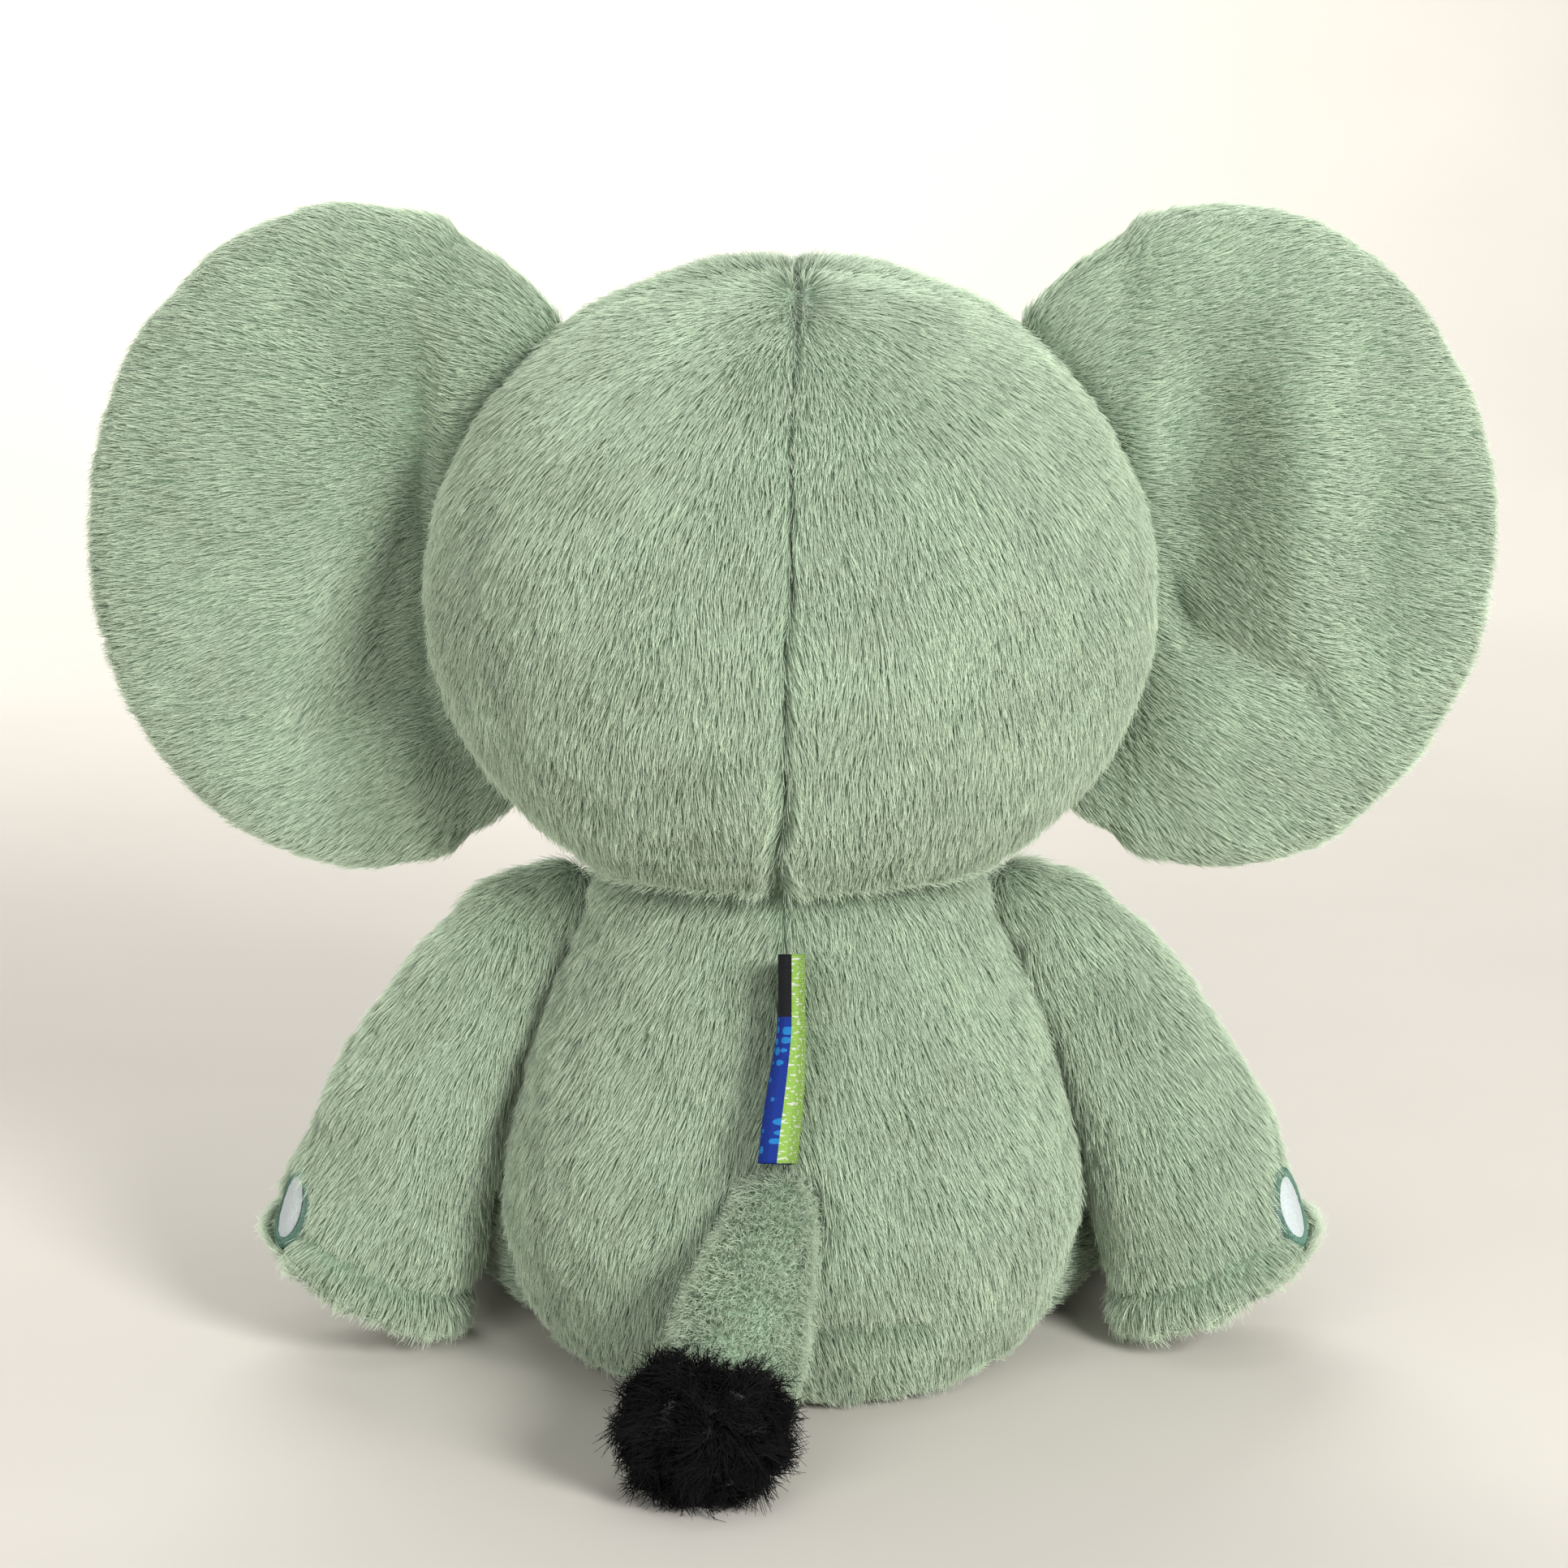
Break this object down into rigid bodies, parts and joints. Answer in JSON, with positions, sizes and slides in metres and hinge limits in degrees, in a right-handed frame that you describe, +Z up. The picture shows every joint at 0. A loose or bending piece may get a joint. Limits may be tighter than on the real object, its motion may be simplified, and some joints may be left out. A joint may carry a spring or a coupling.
{
  "type": "stuffed elephant",
  "caption": "Seated plush elephant with a big round head, broad floppy ears, hanging arms, splayed legs, a pompom tail and a folded ribbon label",
  "frame": {"origin": "on the table under the middle of the seat", "axes": "+Z up, the toy faces -Y, and +X is the toy's own left"},
  "size_m": [0.338, 0.2729, 0.2825],
  "materials": {
    "plush": "short soft sage-green pile",
    "velour": "smooth pale velour",
    "felt": "pale blue-grey felt with a stitched rim",
    "pompom": "shaggy black pile",
    "ribbon": "woven ribbon, blue and lime",
    "fibre": "white polyester fibre",
    "cotton": "plain woven cotton",
    "pellets": "loose plastic pellets",
    "eye": "glossy black plastic",
    "washer": "white moulded plastic",
    "thread": "twisted sewing thread"
  },
  "bodies": {
    "torso": {"torso_back_left": "plush", "torso_back_right": "plush", "torso_belly": "plush", "torso_base": "plush", "torso_stuffing": "fibre", "bean_pouch": "cotton", "bean_pellets": "pellets"},
    "neck": {"neck_seam": "thread"},
    "head": {"head_back_left": "plush", "head_back_right": "plush", "face_left": "plush", "face_right": "plush", "head_stuffing": "fibre", "eye_left": "eye", "eye_right": "eye", "eye_washer_left": "washer", "eye_washer_right": "washer"},
    "trunk": {"trunk_sleeve": "plush", "trunk_tip": "velour", "trunk_stuffing": "fibre"},
    "ear_left": {"ear_left_back": "plush", "ear_left_inner": "velour", "ear_left_wadding": "fibre"},
    "arm_left": {"arm_left_front": "plush", "arm_left_back": "plush", "arm_left_sole": "plush", "arm_left_nails": "felt", "arm_left_stuffing": "fibre"},
    "leg_left": {"leg_left_top": "plush", "leg_left_under": "plush", "leg_left_sole": "velour", "leg_left_nails": "felt", "leg_left_stuffing": "fibre"},
    "ear_right": {"ear_right_back": "plush", "ear_right_inner": "velour", "ear_right_wadding": "fibre"},
    "arm_right": {"arm_right_front": "plush", "arm_right_back": "plush", "arm_right_sole": "plush", "arm_right_nails": "felt", "arm_right_stuffing": "fibre"},
    "leg_right": {"leg_right_top": "plush", "leg_right_under": "plush", "leg_right_sole": "velour", "leg_right_nails": "felt", "leg_right_stuffing": "fibre"},
    "tail": {"tail_sleeve": "plush", "tail_stuffing": "fibre"},
    "tuft": {"tail_tuft": "pompom"},
    "label": {"label": "ribbon"}
  },
  "joints": [
    {"name": "neck_turn", "type": "hinge", "parent": "torso", "child": "neck", "pos_m": [0, 0, 0.126], "axis": [0, 0, 1], "range_deg": [-20, 20]},
    {"name": "head_nod", "type": "hinge", "parent": "neck", "child": "head", "pos_m": [0, 0, 0.126], "axis": [1, 0, 0], "range_deg": [-12, 12]},
    {"name": "ear_left_flap", "type": "hinge", "parent": "head", "child": "ear_left", "pos_m": [0.0845, -0.008, 0.2035], "axis": [0, 0, 1], "range_deg": [-40, 15]},
    {"name": "ear_right_flap", "type": "hinge", "parent": "head", "child": "ear_right", "pos_m": [-0.0845, -0.008, 0.2035], "axis": [0, 0, 1], "range_deg": [-15, 40]},
    {"name": "trunk_lift", "type": "hinge", "parent": "head", "child": "trunk", "pos_m": [0, -0.08, 0.172], "axis": [1, 0, 0], "range_deg": [-28, 8]},
    {"name": "arm_left_raise", "type": "hinge", "parent": "torso", "child": "arm_left", "pos_m": [0.057, -0.003, 0.112], "axis": [-0.7071, -0.7071, 0], "range_deg": [0, 48]},
    {"name": "arm_right_raise", "type": "hinge", "parent": "torso", "child": "arm_right", "pos_m": [-0.057, -0.003, 0.112], "axis": [0.7071, -0.7071, 0], "range_deg": [-48, 0]},
    {"name": "leg_left_lift", "type": "hinge", "parent": "torso", "child": "leg_left", "pos_m": [0.05, -0.02, 0.0242], "axis": [-0.9272, -0.3746, 0], "range_deg": [0, 30]},
    {"name": "leg_right_lift", "type": "hinge", "parent": "torso", "child": "leg_right", "pos_m": [-0.05, -0.02, 0.0242], "axis": [-0.9272, 0.3746, 0], "range_deg": [0, 30]},
    {"name": "tail_swing", "type": "hinge", "parent": "torso", "child": "tail", "pos_m": [0.004, 0.067, 0.054], "axis": [0, 0, 1], "range_deg": [-10, 30]},
    {"name": "tuft_swing", "type": "hinge", "parent": "tail", "child": "tuft", "pos_m": [0.014, 0.101, 0.027], "axis": [0, 0, 1], "range_deg": [-20, 20]},
    {"name": "label_flip", "type": "hinge", "parent": "torso", "child": "label", "pos_m": [0, 0.066, 0.067], "axis": [0, -0.3073, 0.9516], "range_deg": [-50, 50]}
  ]
}
